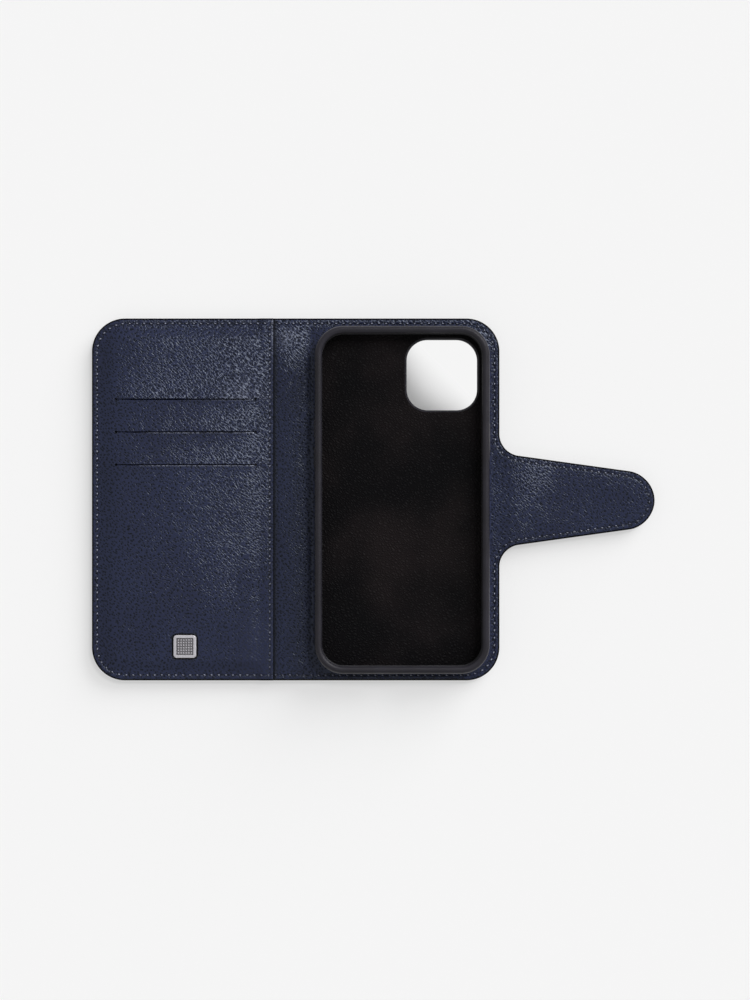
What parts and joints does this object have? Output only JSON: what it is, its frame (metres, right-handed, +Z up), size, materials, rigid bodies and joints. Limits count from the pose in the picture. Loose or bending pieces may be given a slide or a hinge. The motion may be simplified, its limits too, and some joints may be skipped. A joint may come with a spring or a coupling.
{
  "type": "phone wallet case",
  "caption": "Open folio case: leather cover with card slits, spine, back panel carrying a moulded phone shell, and a tapered magnetic closing strap.",
  "frame": {"origin": "on the surface the open case lies on, under the middle of its overall box", "axes": "+X from the cover's free edge to the strap's tip, +Y towards the camera window, +Z up"},
  "size_m": [0.2472, 0.159, 0.0131],
  "materials": {
    "outer_leather": "grained navy leather",
    "lining_leather": "grained navy leather",
    "board": "bonded fibre board",
    "adhesive": "soft adhesive film",
    "shell": "satin dark grey elastomer",
    "shell_lining": "black grained sheet",
    "pocket_fabric": "thin woven lining",
    "emblem_metal": "satin grey metal",
    "steel": "plain"
  },
  "bodies": {
    "back": {"back_outer_leather": "outer_leather", "back_stiffener_board": "board", "back_lining_leather": "lining_leather", "shell_bonding_sheet": "adhesive", "phone_shell": "shell", "shell_floor_lining": "shell_lining"},
    "spine": {"spine_outer_leather": "outer_leather", "spine_stiffener": "board", "spine_lining_leather": "lining_leather"},
    "cover": {"cover_outer_leather": "outer_leather", "cover_stiffener_board": "board", "cover_hinge_lining": "lining_leather", "card_panel": "lining_leather", "pocket_lining_top": "pocket_fabric", "pocket_lining_middle": "pocket_fabric", "pocket_lining_bottom": "pocket_fabric", "cover_keeper_plate": "steel", "emblem_plate": "emblem_metal", "emblem_backing_washer": "steel"},
    "strap_riser": {"strap_riser_outer_leather": "outer_leather", "strap_riser_lining": "lining_leather"},
    "strap_end": {"strap_end_outer_leather": "outer_leather", "strap_end_lining": "lining_leather", "strap_reinforcement": "board", "strap_magnet": "steel"},
    "volume_up_cover": {"volume_up_cover": "shell"},
    "volume_down_cover": {"volume_down_cover": "shell"},
    "side_button_cover": {"side_button_cover": "shell"}
  },
  "joints": [
    {"name": "spine_fold", "type": "hinge", "parent": "back", "child": "spine", "pos_m": [-0.0273, 0, 0.001], "axis": [0, 1, 0], "range_deg": [-90, 90]},
    {"name": "cover_fold", "type": "hinge", "parent": "spine", "child": "cover", "pos_m": [-0.0422, 0, 0.001], "axis": [0, 1, 0], "range_deg": [-90, 90]},
    {"name": "strap_root_fold", "type": "hinge", "parent": "back", "child": "strap_riser", "pos_m": [0.05662, 0, 0.001], "axis": [0, -1, 0], "range_deg": [-45, 90]},
    {"name": "strap_bend", "type": "hinge", "parent": "strap_riser", "child": "strap_end", "pos_m": [0.07402, 0, 0.001], "axis": [0, -1, 0], "range_deg": [-45, 90]},
    {"name": "volume_up_press", "type": "slide", "parent": "back", "child": "volume_up_cover", "axis": [1, 0, 0], "range_m": [0, 0.0004], "stiffness_N_per_m": 2000},
    {"name": "volume_down_press", "type": "slide", "parent": "back", "child": "volume_down_cover", "axis": [1, 0, 0], "range_m": [0, 0.0004], "stiffness_N_per_m": 2000},
    {"name": "side_button_press", "type": "slide", "parent": "back", "child": "side_button_cover", "axis": [-1, 0, 0], "range_m": [0, 0.0004], "stiffness_N_per_m": 2000}
  ]
}
